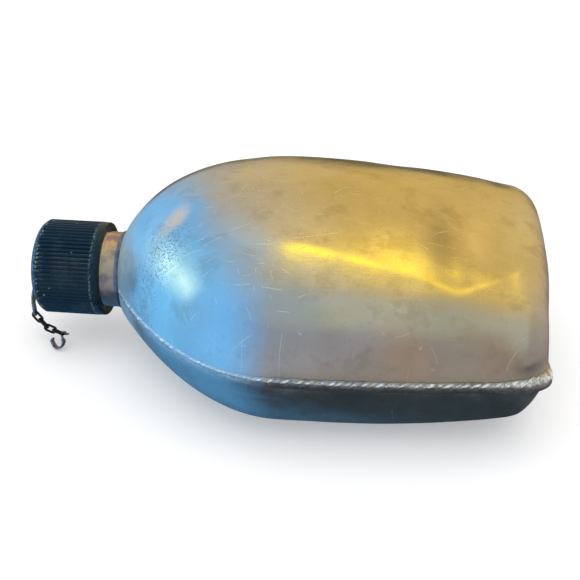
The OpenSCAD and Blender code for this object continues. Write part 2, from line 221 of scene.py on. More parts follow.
# ---------------------------------------------------------------------------
# Materials: every one is a small node graph in object space
# ---------------------------------------------------------------------------
class Graph:
    """Makes nodes in one tree; a socket given as an input is linked, anything else is set."""

    def __init__(self, tree):
        self.tree = tree
        self.tree.nodes.clear()

    def add(self, kind, inputs=(), **settings):
        made = self.tree.nodes.new(kind)
        for key, value in settings.items():
            setattr(made, key, value)
        for key, value in dict(inputs).items():
            if isinstance(value, bpy.types.NodeSocket):
                self.tree.links.new(value, made.inputs[key])
            else:
                made.inputs[key].default_value = value
        return made

    def math(self, operation, a, b=0.0, clamp=False):
        return self.add("ShaderNodeMath", {0: a, 1: b}, operation=operation, use_clamp=clamp).outputs[0]

    def ramp(self, value, low, high, out_low=0.0, out_high=1.0):
        inputs = {"Value": value, "From Min": low, "From Max": high, "To Min": out_low, "To Max": out_high}
        return self.add("ShaderNodeMapRange", inputs, interpolation_type="SMOOTHSTEP").outputs[0]

    def blend(self, factor, a, b, how="MIX"):
        made = self.add("ShaderNodeMix", {"Factor": factor}, data_type="RGBA", blend_type=how)
        for socket, value in ((made.inputs[6], a), (made.inputs[7], b)):
            if isinstance(value, bpy.types.NodeSocket):
                self.tree.links.new(value, socket)
            else:
                socket.default_value = (*value, 1.0)
        return made.outputs[2]

    def place(self, turn=(0, 0, 0), scale=(1, 1, 1)):
        here = self.add("ShaderNodeTexCoord").outputs["Object"]
        turn = tuple(math.radians(a) for a in turn)
        return self.add("ShaderNodeMapping", {"Vector": here, "Rotation": turn, "Scale": scale}).outputs[0]

    def noise(self, scale, detail=2.0, rough=0.5, vector=None):
        vector = vector or self.place()
        inputs = {"Vector": vector, "Scale": scale, "Detail": detail, "Roughness": rough}
        return self.add("ShaderNodeTexNoise", inputs).outputs[0]

    def painted(self, name, output="Fac"):
        """A value or colour that the mesh carries on its points."""
        return self.add("ShaderNodeAttribute", attribute_name=name).outputs[output]

    def pits(self, scale, size, vector=None):
        """1 inside small round pits, 0 outside."""
        vector = vector or self.place()
        cells = self.add("ShaderNodeTexVoronoi", {"Vector": vector, "Scale": scale}).outputs["Distance"]
        return self.ramp(cells, size * 0.4, size, 1.0, 0.0)

    def scratches(self, size, width, turn, spread, share, seed):
        """1 along thin single strokes, 0 elsewhere: one stroke at most in each cell of the given size."""
        here = self.place((0, 0, 0), (1 / size, 1 / size, 1 / size))
        warp = self.add("ShaderNodeTexNoise", {"Vector": here, "Scale": 0.7, "Detail": 1.0}).outputs[1]
        moved = self.add("ShaderNodeVectorMath", {0: here, 1: (seed * 3.7, seed * 1.9, seed)}).outputs[0]
        inputs = {0: warp, 1: (0.25, 0.25, 0.25), 2: moved}
        bent = self.add("ShaderNodeVectorMath", inputs, operation="MULTIPLY_ADD").outputs[0]
        cells = self.add("ShaderNodeTexVoronoi", {"Vector": bent, "Scale": 1.0})
        inputs = {0: bent, 1: cells.outputs["Position"]}
        from_middle = self.add("ShaderNodeVectorMath", inputs, operation="SUBTRACT").outputs[0]
        chance = self.add("ShaderNodeSeparateXYZ", {0: cells.outputs["Color"]}).outputs
        low, high = math.radians(turn - spread), math.radians(turn + spread)
        inputs = {"Value": chance[0], "To Min": low, "To Max": high}
        angle = self.add("ShaderNodeMapRange", inputs).outputs[0]
        inputs = {"Vector": from_middle, "Angle": angle}
        turned = self.add("ShaderNodeVectorRotate", inputs, rotation_type="Z_AXIS").outputs[0]
        along = self.add("ShaderNodeSeparateXYZ", {0: turned}).outputs
        reach = self.math("MULTIPLY", chance[1], 0.55)
        ends = self.math("SUBTRACT", reach, self.math("ABSOLUTE", along[0]))
        thin = self.ramp(self.math("ABSOLUTE", along[1]), width / size * 0.3, width / size, 1.0, 0.0)
        shown = self.math("LESS_THAN", chance[2], share)
        return self.math("MULTIPLY", self.math("MULTIPLY", thin, self.ramp(ends, 0.0, 0.12)), shown)

    def bump(self, height, strength, distance, under=None):
        inputs = {"Height": height, "Strength": strength, "Distance": distance}
        if under is not None:
            inputs["Normal"] = under
        return self.add("ShaderNodeBump", inputs).outputs[0]

    def finish(self, inputs):
        shader = self.add("ShaderNodeBsdfPrincipled", inputs)
        out = self.add("ShaderNodeOutputMaterial")
        self.tree.links.new(shader.outputs[0], out.inputs[0])


def new_material(name):
    material = bpy.data.materials.new(name)
    material.use_nodes = True
    return material, Graph(material.node_tree)


def shell_metal():
    """Bare aluminium: satin, hand-worn, with stains, a pitted patch and many fine scratches, and with
    painted highlights, shade and reflections carried on the mesh.
    """
    material, g = new_material("shell_metal")
    cloud = g.noise(26, 3, 0.55)
    stain = g.noise(85, 5, 0.65)
    colour = g.blend(g.ramp(cloud, 0.35, 0.65), (0.85, 0.84, 0.82), (0.72, 0.71, 0.69))
    colour = g.blend(g.ramp(stain, 0.50, 0.68, 0.0, 0.70), colour, (0.64, 0.59, 0.53))
    colour = g.blend(g.ramp(g.noise(420, 4, 0.7), 0.52, 0.72, 0.0, 0.28), colour, (0.60, 0.57, 0.53))
    # The mesh's colours multiply in here: stains, and painted highlights, shade and reflections.
    painted_light_and_stains = g.painted("painted_light_and_stains", "Color")
    colour = g.blend(1.0, colour, painted_light_and_stains, "MULTIPLY")
    patch = g.painted("etched")
    etch = g.math("MULTIPLY", patch, g.ramp(g.noise(1150, 5, 0.8), 0.50, 0.60))
    colour = g.blend(g.math("MULTIPLY", etch, 0.85), colour, (0.17, 0.26, 0.36))
    # A mottled pinkish-tan painted in the shoulder dent, standing for its warm reflection; the metal there
    # is also made less metallic.
    painted_dent_reflection = g.painted("painted_dent_reflection")
    painted_dent_reflection = g.math("MULTIPLY", painted_dent_reflection, g.ramp(g.noise(500, 4, 0.7), 0.30, 0.55, 0.55, 1.0))
    colour = g.blend(painted_dent_reflection, colour, (0.66, 0.50, 0.40))
    metallic = g.math("SUBTRACT", 1.0, g.math("MULTIPLY", painted_dent_reflection, 0.65))
    marks = [
        g.scratches(0.0085, 0.00016, -20, 30, 0.42, 1),
        g.scratches(0.0130, 0.00020, -35, 60, 0.40, 2),
        g.scratches(0.0060, 0.00013, 50, 60, 0.30, 3),
        g.scratches(0.0300, 0.00017, -12, 14, 0.45, 4),
    ]
    lines = marks[0]
    for mark in marks[1:]:
        lines = g.math("MAXIMUM", lines, mark)
    lines = g.math("MULTIPLY", lines, g.ramp(g.noise(30, 2), 0.38, 0.62, 0.15, 1.0))
    colour = g.blend(g.math("MULTIPLY", lines, 0.85), colour, (1.0, 0.98, 0.94))
    holes = g.math("MULTIPLY", g.pits(330, 0.10), g.ramp(g.noise(70, 2), 0.54, 0.70))
    colour = g.blend(g.math("MULTIPLY", holes, 0.5), colour, (0.30, 0.27, 0.24))
    rough = g.ramp(g.noise(45, 4, 0.6), 0.3, 0.7, 0.15, 0.32)
    rough = g.math("ADD", rough, g.math("MULTIPLY", lines, 0.16))
    dulled = g.painted("dulled")
    rough = g.math("ADD", rough, g.math("MULTIPLY", dulled, 0.34))
    grain = g.noise(1.0, 2, 0.6, g.place((0, 0, -14), (60, 1900, 700)))
    normal = g.bump(g.noise(60, 2), 0.5, 0.00023)
    normal = g.bump(g.noise(260, 4, 0.7), 0.50, 0.00008, normal)
    normal = g.bump(grain, 0.22, 0.00005, normal)
    normal = g.bump(g.math("ADD", lines, g.math("MULTIPLY", holes, -1.2)), 0.35, 0.00005, normal)
    normal = g.bump(g.math("MULTIPLY", etch, -1.0), 0.3, 0.00006, normal)
    g.finish({"Base Color": colour, "Metallic": metallic, "Roughness": rough, "Normal": normal})
    return material


def weld_metal():
    """Weld bead: painted shade in its folds and underneath, painted highlights on its crests, plainer where
    hammered flat.
    """
    material, g = new_material("weld_metal")
    crest = g.painted("crest")
    colour = g.blend(g.ramp(g.noise(300, 4, 0.6), 0.35, 0.7), (0.46, 0.47, 0.47), (0.26, 0.26, 0.26))
    hammered = g.painted("hammered")
    # Painted shade: dark where the crest value is low, on the bead's lower side and in its folds.
    colour = g.blend(g.ramp(crest, 0.0, 0.45), (0.17, 0.185, 0.195), colour)
    colour = g.blend(g.math("MULTIPLY", hammered, 0.85), colour, (0.72, 0.77, 0.80))
    # Painted highlight: pale and less metallic where the crest value is high, on the upper strands.
    broken = g.ramp(g.noise(640, 3, 0.6), 0.34, 0.54, 0.25, 1.0)
    painted_highlight = g.math("MULTIPLY", g.ramp(crest, 0.50, 0.95), broken)
    colour = g.blend(painted_highlight, colour, (0.86, 0.92, 0.92))
    metallic = g.math("SUBTRACT", 0.9, g.math("MULTIPLY", painted_highlight, 0.45))
    rough = g.ramp(g.noise(500, 3), 0.3, 0.7, 0.26, 0.44)
    normal = g.bump(g.noise(420, 4, 0.6), 0.7, 0.00026)
    normal = g.bump(g.noise(1500, 3, 0.6), 0.35, 0.00006, normal)
    g.finish({"Base Color": colour, "Metallic": metallic, "Roughness": rough, "Normal": normal})
    return material


def neck_metal():
    """Turned aluminium, dulled, with fine rings round the neck axis; a painted reflection makes it golden on
    top and mauve-grey below.
    """
    material, g = new_material("neck_metal")
    rings = g.noise(1.0, 2, 0.6, g.place((0, 0, 0), (2600, 30, 30)))
    grime_and_seam_shade = g.noise(160, 4, 0.6)
    height = g.add("ShaderNodeSeparateXYZ", {0: g.place()}).outputs[2]
    # Painted reflection: golden towards the top, mauve-grey towards the bottom.
    painted_reflection_by_height = g.ramp(height, NECK_MIDDLE_Z - 0.010, NECK_MIDDLE_Z + 0.013)
    metal_with_painted_reflection = g.blend(painted_reflection_by_height, (0.46, 0.40, 0.46), (1.00, 0.64, 0.34))
    colour = g.blend(g.ramp(grime_and_seam_shade, 0.42, 0.66), metal_with_painted_reflection, (0.50, 0.35, 0.30))
    rough = g.ramp(g.noise(210, 3), 0.3, 0.7, 0.30, 0.46)
    normal = g.bump(rings, 0.35, 0.00005)
    normal = g.bump(g.noise(700, 3, 0.6), 0.4, 0.00008, normal)
    g.finish({"Base Color": colour, "Metallic": 1.0, "Roughness": rough, "Normal": normal})
    return material


def collar_metal():
    """The weld round the foot of the neck: darker than the neck."""
    material, g = new_material("collar_metal")
    colour = g.blend(g.ramp(g.noise(240, 4, 0.6), 0.35, 0.65), (0.34, 0.32, 0.38), (0.20, 0.19, 0.23))
    rough = g.ramp(g.noise(300, 3), 0.3, 0.7, 0.36, 0.55)
    normal = g.bump(g.noise(360, 3), 0.5, 0.00016)
    g.finish({"Base Color": colour, "Metallic": 1.0, "Roughness": rough, "Normal": normal})
    return material


def cap_plastic():
    """Black moulded phenolic: semi-matt, with pale scuffs on the ends of the ribs, and pale painted
    highlights along the rim-side rib ends and round the dome's edge.
    """
    material, g = new_material("cap_plastic")
    wear_and_painted_highlight = g.painted("wear_and_painted_highlight")
    broken = g.ramp(g.noise(1100, 3, 0.7), 0.46, 0.60)
    scuffs_and_highlight = g.math("MULTIPLY", wear_and_painted_highlight, broken)
    dust = g.ramp(g.noise(150, 5, 0.7), 0.50, 0.72, 0.0, 0.50)
    specks = g.math("MULTIPLY", g.pits(260, 0.13), g.ramp(g.noise(120, 2), 0.5, 0.62))
    colour = g.blend(dust, (0.003, 0.0085, 0.014), (0.022, 0.042, 0.054))
    colour = g.blend(g.math("MULTIPLY", scuffs_and_highlight, 0.75), colour, (0.40, 0.52, 0.58))
    colour = g.blend(g.math("MULTIPLY", specks, 0.7), colour, (0.5, 0.5, 0.48))
    rough = g.ramp(g.noise(240, 4, 0.6), 0.3, 0.7, 0.20, 0.36)
    rough = g.math("ADD", rough, g.math("MULTIPLY", scuffs_and_highlight, 0.3), True)
    normal = g.bump(g.noise(900, 3, 0.6), 0.3, 0.00006)
    normal = g.bump(g.noise(130, 2), 0.4, 0.0002, normal)
    coat = {"IOR": 1.60, "Specular Tint": (0.34, 0.70, 1.0, 1.0)}
    g.finish({"Base Color": colour, "Roughness": rough, "Normal": normal, **coat})
    return material


def plated_steel():
    """Dull plated spring steel, with small rust freckles."""
    material, g = new_material("strap_metal")
    colour = g.blend(g.ramp(g.noise(380, 4, 0.6), 0.45, 0.7), (0.36, 0.39, 0.42), (0.12, 0.125, 0.14))
    rust = g.ramp(g.noise(900, 4, 0.7), 0.62, 0.72)
    colour = g.blend(g.math("MULTIPLY", rust, 0.6), colour, (0.16, 0.09, 0.05))
    rough = g.ramp(g.noise(600, 3), 0.3, 0.7, 0.32, 0.5)
    normal = g.bump(g.noise(1400, 3, 0.6), 0.5, 0.00005)
    g.finish({"Base Color": colour, "Metallic": 1.0, "Roughness": rough, "Normal": normal})
    return material


def blackened_steel():
    """Blackened wire, dull, with rubbed spots and a little rust."""
    material, g = new_material("link_metal")
    colour = g.blend(g.ramp(g.noise(700, 4, 0.6), 0.55, 0.75), (0.04, 0.037, 0.04), (0.30, 0.30, 0.31))
    rust = g.ramp(g.noise(1300, 4, 0.7), 0.60, 0.70)
    colour = g.blend(g.math("MULTIPLY", rust, 0.5), colour, (0.13, 0.06, 0.03))
    rough = g.ramp(g.noise(900, 3), 0.3, 0.7, 0.38, 0.6)
    normal = g.bump(g.noise(1600, 3, 0.6), 0.6, 0.00006)
    g.finish({"Base Color": colour, "Metallic": 0.85, "Roughness": rough, "Normal": normal})
    return material


def gasket_rubber():
    """Aged rubber-faced cork, brown and dry."""
    material, g = new_material("gasket_rubber")
    crumbs = g.noise(900, 4, 0.7)
    colour = g.blend(g.ramp(crumbs, 0.4, 0.65), (0.09, 0.045, 0.025), (0.22, 0.12, 0.07))
    normal = g.bump(crumbs, 0.6, 0.00012)
    rough = g.ramp(crumbs, 0.3, 0.7, 0.75, 0.95)
    g.finish({"Base Color": colour, "Roughness": rough, "Normal": normal})
    return material


# ---------------------------------------------------------------------------
# Body: two dented half shells
# ---------------------------------------------------------------------------
CAP_ROWS, EDGE_ROWS, SIDE_ROWS, SHOULDER_ROWS = 26, 34, 110, 92
COLS = 151

# Small dings and hollows in the front: s, y, half length along s, half width across y, depth.
FRONT_DENTS = [
    (139.0, -18.5, 7.0, 5.2, 1.20),
    (131.0, -11.5, 5.0, 4.5, -0.25),
    (114.4, 8.7, 2.4, 1.8, 0.30),
    (139.0, -38.0, 9.0, 10.0, 0.40),
    (129.5, -52.0, 8.0, 5.0, -0.20),
    (69.8, -65.1, 9.0, 5.0, 0.35),
    (51.0, -62.6, 9.0, 5.0, 0.30),
    (22.0, -62.0, 10.0, 4.0, 0.35),
    (84.0, 30.0, 12.0, 9.0, 0.30),
    (60.0, 48.0, 9.0, 11.0, 0.45),
    (120.0, 40.0, 9.0, 8.0, 0.35),
]
# The wide hollow near the base that the CAD shell has as well.
WORN_DENT = (26.0, -14.0, 24.0, 26.0, 3.0)
BACK_DENTS = [
    (60.0, 40.0, 12.0, 9.0, 0.40),
    (110.0, -30.0, 10.0, 12.0, 0.40),
    (35.0, -20.0, 9.0, 9.0, 0.35),
    (128.0, 20.0, 7.0, 7.0, 0.30),
]

# The edge of the crushed area and a crease on the shoulder, as points (s, y).
RIDGE = [(118, -31), (104.5, -34.5), (91, -37), (77.4, -40), (59.5, -42.5), (47, -45.5), (35.4, -48.5),
         (24, -41.5), (6.5, -27)]
SHOULDER_CREASE = [(141, -35), (136, -42), (129, -53)]
RIDGE_HEIGHT = 0.85
RIDGE_REACH = 9.0
CREASE_HEIGHT = 0.35
CREASE_REACH = 4.5
SHARP_ROUNDING = 0.9
SOFT_ROUNDING = 2.4

# The fold across the crushed area: its s at each y.
FOLD_Y = [-50, -21, 0, 25]
FOLD_S = [35.4, 36.5, 37.5, 44]
FOLD_DEPTH = 0.55

# Painted light and stains on the front: s, y, half length along s, half width across y, colour. Most stand
# for light: painted shade and a painted highlight on either side of the fold, a painted cyan reflection on
# the shoulder and painted bluish reflections along the base edge; the brownish ones on the near side are
# stains.
FRONT_STAINS_AND_PAINTED_LIGHT = [
    # painted shade just before the fold, then a painted highlight just past it
    (42.0, -22, 5.0, 26, (0.78, 0.79, 0.82)),
    (29.0, -19, 5.5, 13, (1.30, 1.27, 1.36)),
    (74.0, -66, 10, 4.0, (0.90, 1.00, 1.18)),
    (52.0, -65, 9, 4.0, (0.96, 0.84, 0.76)),
    (22.0, -61, 9, 3.5, (0.98, 0.90, 0.82)),
    # painted cyan reflection on the shoulder's pitted patch
    (137.0, -42, 12, 12, (1.00, 1.12, 1.09)),
    (102.0, -60, 16, 9, (0.92, 0.94, 1.02)),
    # painted bluish reflections along the base edge
    (8.0, -12, 12, 30, (0.98, 1.03, 1.28)),
    (9.0, -46, 8, 8, (0.90, 0.98, 1.22)),
]


# Places on the shells: s, y, half length along s, half width across y.
ETCHED_PATCH = (143.0, -32.0, 12.0, 13.0)
DENT_REFLECTION_PATCH = (141.0, -20.0, 4.4, 6.4)
DENT_REFLECTION_SLANT = 0.35
PRESSED_EDGE = (0.0, -44.0, 14.0, 20.0)
CORNER_BULGE = (3.5, -58.0, 5.0, 6.0)


def crushed_fold(s, y):
    """A soft fold across the front near the base, from the corner of the ridge to the far side."""
    away = s - np.interp(y, FOLD_Y, FOLD_S)
    width = np.where(away > 0, 8.0, 5.0)
    along = smooth(y, -50, -40) * (1 - smooth(y, 12, 34))
    return FOLD_DEPTH * along * hump(away, 0, width)


def distance_to(line, s, y):
    """Distance from each point (s, y) to a bent line."""
    best = np.full(s.shape, 1e9)
    for (s0, y0), (s1, y1) in zip(line[:-1], line[1:]):
        length = (s1 - s0) ** 2 + (y1 - y0) ** 2
        along = clip(((s - s0) * (s1 - s0) + (y - y0) * (y1 - y0)) / length)
        best = np.minimum(best, np.hypot(s - s0 - along * (s1 - s0), y - y0 - along * (y1 - y0)))
    return best


def roof(away, height, reach, rounding):
    """Height of a ridge at a distance from its line."""
    return height * np.exp(-(np.sqrt(away**2 + rounding**2) - rounding) / reach)


def pressed_ridges(s, y):
    """The bent edge of the crushed area, and a short crease on the shoulder: both catch the light."""
    rounding = mix(SHARP_ROUNDING, SOFT_ROUNDING, smooth(s, 46, 84))
    edge = roof(distance_to(RIDGE, s, y), RIDGE_HEIGHT, RIDGE_REACH, rounding)
    crease = roof(distance_to(SHOULDER_CREASE, s, y), CREASE_HEIGHT, CREASE_REACH, SHARP_ROUNDING)
    return edge * (1 - smooth(s, 96, 124)) * smooth(s, 0, 14) + crease


def dents(s, y, table):
    total = np.zeros_like(s)
    for *place, depth in table:
        total = total + depth * spot(s, y, *place)
    return total


def shell_grid(front):
    """Rows from the seam across the base, over the base edge and up to the neck."""
    edge = BASE_EDGE * (1 - np.cos(np.linspace(0, math.pi / 2, EDGE_ROWS)))
    side = np.linspace(BASE_EDGE, SHOULDER_START, SIDE_ROWS)[1:]
    quarter = np.linspace(0, math.pi / 2, SHOULDER_ROWS)[1:]
    top = SHOULDER_START + (BODY_LEN - SHOULDER_START) * np.sin(quarter)
    s0 = np.concatenate([np.zeros(CAP_ROWS), edge, side, top])[:, None]
    share = np.concatenate([np.linspace(0, 1, CAP_ROWS + 1)[:-1], np.ones(len(s0) - CAP_ROWS)])[:, None]
    m = 1 - shoulder_t(s0) ** 2
    w = half_width(s0)
    y = -w * np.cos(np.linspace(0, math.pi, COLS))[None]
    s = s0 + crown_at(y) * crown_fade(s0)
    if front:
        h = front_height(y, w, front_depth(s0), m)
        h = h - dents(s, y, [WORN_DENT]) * smooth(h, 0, FRONT_BASE_DEPTH + 2)
    else:
        h = back_height(y, w, back_depth(s0), m)
    h[:, 0] = 0
    h[:, -1] = 0
    return s, y, h * share


def outward(points, middle):
    down = np.gradient(points, axis=0)
    across = np.gradient(points, axis=1)
    normal = np.cross(down, across)
    normal /= np.linalg.norm(normal, axis=-1, keepdims=True) + 1e-9
    facing = np.sign(((points - middle) * normal).sum(-1, keepdims=True))
    return normal * np.where(facing == 0, 1, facing)


def corner_damage(points):
    """The base edge is pressed in; the near corner bulges at the seam and has a notch above it."""
    s, y, h = points[..., 0], points[..., 1], points[..., 2]
    pressed = spot(s, y, *PRESSED_EDGE)
    bulge = spot(s, y, *CORNER_BULGE) * hump(h, -0.5, 3.5)
    notch = hump(s, 8.5, 5.5) * hump(h, 5.4, 2.3) * smooth(-y, 50, 58)
    points = points.copy()
    points[..., 0] += 1.9 * pressed - 2.6 * bulge
    points[..., 1] += -1.3 * bulge + 1.1 * notch
    return points


WAVINESS = ((0.22, 34), (0.06, 13))
EDGE_WEAR = 0.8
SHOULDER_GROOVE = 0.16


def shell_push(points, front):
    """How far each point moves outward: waviness, dents, ridges, and a groove beside the shoulder's weld."""
    s, y, h = points[..., 0], points[..., 1], points[..., 2]
    (broad, broad_size), (fine, fine_size) = WAVINESS
    push = broad * wave(points, broad_size, 1 if front else 2) + fine * wave(points, fine_size, 3)
    if front:
        push = push - crushed_fold(s, y) * smooth(h, 6, 20) - dents(s, y, FRONT_DENTS)
        push = push + pressed_ridges(s, y) * smooth(h, 4, 16)
        push = push - EDGE_WEAR * hump(s, 13, 10) * smooth(h, 8, 18)
    else:
        push = push - dents(s, y, BACK_DENTS)
    seam_fade = smooth(np.abs(h), 1.5, 9)
    neck_fade = 1 - smooth(s, BODY_LEN - 9, BODY_LEN - 3)
    groove = SHOULDER_GROOVE * hump(np.abs(h), 8.2, 0.7) * smooth(s, 92, 100) * (1 - smooth(s, 118, 130))
    return push * seam_fade * neck_fade - groove


def shell_tint(s, y, h, front):
    """Colours that multiply the metal's own: stains, and painted highlights, shade and reflections; also
    painted shade in the corner notch and along the seam beside the rope weld.
    """
    painted_light_and_stains = np.ones(s.shape + (4,), np.float32)
    for *place, colour in FRONT_STAINS_AND_PAINTED_LIGHT if front else []:
        share = spot(s, y, *place)[..., None]
        painted_light_and_stains[..., :3] *= 1 + share * (np.array(colour) - 1)
    # Painted shade: in the notch above the near corner, and along the seam under and beside the tall rope
    # weld.
    notch = hump(s, 8, 6) * hump(h, 6, 2.6) * smooth(-y, 48, 56)
    grime_and_seam_shade = 0.24 * hump(h, 0, 3.2) * (1 - smooth(s, 90, 115))
    painted_light_and_stains[..., :3] *= (1 - 0.45 * notch - grime_and_seam_shade)[..., None]
    return painted_light_and_stains


def half_shell(name, front):
    s, y, h = shell_grid(front)
    points = np.stack([s, y, h], -1)
    normal = outward(points, np.array([75.0, 0.0, 0.0]))
    points = corner_damage(points + normal * shell_push(points, front)[..., None])
    rows, cols = s.shape
    world = to_world(points[..., 0], points[..., 1], points[..., 2]).reshape(-1, 3)
    obj = new_mesh(name, world, grid_faces(rows, cols, flip=not front))
    patch = spot(s, y, *ETCHED_PATCH) * (h > 0)
    add_attribute(obj, "etched", clip(patch * 1.6 - 0.35))
    # painted warm reflection in the shoulder dent
    brown = spot(s + DENT_REFLECTION_SLANT * (y - DENT_REFLECTION_PATCH[1]), y, *DENT_REFLECTION_PATCH) * (h > 0)
    add_attribute(obj, "painted_dent_reflection", clip(brown * 1.3 - 0.15))
    add_attribute(obj, "dulled", smooth(s, 152, 162) + 0.5 * (1 - smooth(s, 7, 19)))
    paint = obj.data.attributes.new("painted_light_and_stains", "FLOAT_COLOR", "POINT")
    paint.data.foreach_set("color", shell_tint(s, y, h, front).ravel())
    thick = obj.modifiers.new("sheet", "SOLIDIFY")
    thick.thickness = WALL * MM
    thick.offset = -1
    return obj


# ---------------------------------------------------------------------------
# Seam weld: a rope of overlapping ridges, hammered flat on the shoulder
# ---------------------------------------------------------------------------
WELD_STEP = 0.36
WELD_SIDES = 24
WELD_END_S = BODY_LEN - 1.0
# Each pair is first for the flattened shoulder, then for the rope along the sides.
WELD_WIDTH = (3.4, 4.6)
WELD_HEIGHT = (0.20, 0.80)
WELD_STRANDS = (0.14, 0.34)
WELD_LINE = (0.26, 0.30)
ROPE_ENDS = (96, 112)

WELD_SUNK = 0.7
WELD_CORNER_EXTRA = 2.0
WELD_OVER_BASE = 0.13
STRAND_SLANT = 1.9
STRAND_LENGTHS = [1.3, 1.7, 2.2, 3.0, 4.4]
STRAND_STRENGTHS = (0.25, 1.2)
# Lumps on the bead: height, size, seed, share of the height that the lower side gets.
WELD_LUMPS = [(0.22, 2.6, 5, 0.5), (0.24, 1.1, 6, 0.3)]


def seam_line():
    """Points (s, y) down the near side, across the base and up the far side, evenly spaced."""
    s = np.concatenate([
        BASE_EDGE * (1 - np.cos(np.linspace(0, math.pi / 2, 60))),
        np.linspace(BASE_EDGE, SHOULDER_START, 200)[1:],
        SHOULDER_START + (WELD_END_S - SHOULDER_START) * np.sin(np.linspace(0, math.pi / 2, 240))[1:],
    ])
    w = half_width(s)
    near = np.stack([s + crown_at(w) * crown_fade(s), -w], -1)[::-1]
    flat_y = np.linspace(-w[0], w[0], 160)[1:-1]
    base = np.stack([crown_at(flat_y), flat_y], -1)
    far = near[::-1] * np.array([1, -1])
    line = np.concatenate([near, base, far])
    gone = np.concatenate([[0], np.cumsum(np.linalg.norm(np.diff(line, axis=0), axis=1))])
    at = np.arange(0, gone[-1], WELD_STEP)
    return np.stack([np.interp(at, gone, line[:, 0]), np.interp(at, gone, line[:, 1])], -1), at


def ridge_edges(total):
    """Places where one ridge of the weld ends and the next begins."""
    edges = [-20.0]
    while edges[-1] < total + 20:
        edges.append(edges[-1] + random.choice(STRAND_LENGTHS) * random.uniform(0.8, 1.2))
    return np.array(edges)


def strands(at, across):
    """How far through its ridge each point is, from 0 to 1, and how strong that ridge is."""
    edges = ridge_edges(at[-1])
    u = at[:, None] - across * STRAND_SLANT
    cell = np.clip(np.searchsorted(edges, u) - 1, 0, len(edges) - 2)
    through = (u - edges[cell]) / (edges[cell + 1] - edges[cell])
    strength = np.array([random.uniform(*STRAND_STRENGTHS) for _ in edges])[cell]
    return through, strength


def away_from_body(line):
    """Unit vectors (s, y) square to the seam, pointing out of the body."""
    heading = np.gradient(line, axis=0)
    heading /= np.linalg.norm(heading, axis=1, keepdims=True)
    side = np.stack([heading[:, 1], -heading[:, 0]], -1)
    return -side if (side[0] * line[0]).sum() < 0 else side


def closed_tube(rows, cols):
    """Faces of a tube with both ends closed."""
    faces = grid_faces(rows, cols, wrap_cols=True, flip=True)
    faces.append(tuple(range(cols)))
    faces.append(tuple((rows - 1) * cols + k for k in reversed(range(cols))))
    return faces


def seam_weld():
    line, at = seam_line()
    s, y = line[:, :1], line[:, 1:]
    side = away_from_body(line)
    turn = np.linspace(0, 2 * math.pi, WELD_SIDES, endpoint=False)[None]
    rope = 1 - smooth(s, *ROPE_ENDS)
    corner = (1 - smooth(s, 8, 26)) * smooth(np.abs(y), 36, 53)
    width = mix(*WELD_WIDTH, rope) + WELD_CORNER_EXTRA * corner
    flush = np.minimum(1.0, np.maximum(0.9 * s - 0.05, WELD_OVER_BASE))
    tall = np.minimum(mix(*WELD_HEIGHT, rope), flush)
    shown = np.maximum(0, np.sin(turn))
    out = tall * shown - WELD_SUNK * np.maximum(0, -np.sin(turn))
    across = width / 2 * np.cos(turn)
    through, strength = strands(at, across)
    scallop = np.sin(math.pi * clip(through)) ** 0.6
    upper = smooth(across / width, -0.12, 0.16) + 0.3 * corner
    relief = (scallop - 0.5) * strength * mix(*WELD_STRANDS, rope) * upper * shown ** 0.35
    relief = relief + mix(*WELD_LINE, rope) * hump(across / width, 0.27, 0.11) * shown
    points = np.stack([s + 0 * turn, y + 0 * turn, across + 0 * s], -1)
    lumps = sum(k * wave(points, size, seed) * mix(low, 1, upper) for k, size, seed, low in WELD_LUMPS)
    out = out + (relief + lumps * shown) * clip(flush)
    along_only = points * np.array([1, 1, 0])
    across = across * (1 + 0.12 * (scallop - 0.5) * strength * upper) + 0.22 * wave(along_only, 9, 8)
    across = across + 0.30 * wave(along_only, 2.2, 9) * upper
    points[..., 0] += side[:, :1] * out
    points[..., 1] += side[:, 1:] * out
    points[..., 2] = across
    points = corner_damage(points)
    world = to_world(points[..., 0], points[..., 1], points[..., 2]).reshape(-1, 3)
    obj = new_mesh("seam_weld_bead", world, closed_tube(*points.shape[:2]))
    # The crest value paints light and shade on the bead: low on its lower side and between strands, high
    # along its upper strands.
    lit = hump(across / width, 0.30, 0.17) + 0.12 * corner
    strand = hump(through, 0.45, 0.20) * strength
    crest = clip(0.12 + 0.30 * upper + lit * (0.25 + 0.42 * strand)) * smooth(shown, -0.2, 0.25)
    add_attribute(obj, "crest", crest)
    add_attribute(obj, "hammered", (1 - rope) + 0 * turn)
    return obj


# ---------------------------------------------------------------------------
# Cap: ribbed skirt, plain rim, domed end, hollow inside
# ---------------------------------------------------------------------------
RIBS = 68
RIB_STEPS = 10
RIB_START = 3.2
RIB_END = CAP_LEN - 4.6
RIB_ROOT_R = CAP_R - 0.85
DOME_R = CAP_R - 0.30
DOME_HEIGHT = 5.0
CAP_BORE_R = 15.45
CAP_INNER_END = 24.5
PIN_BORE_R = 1.55


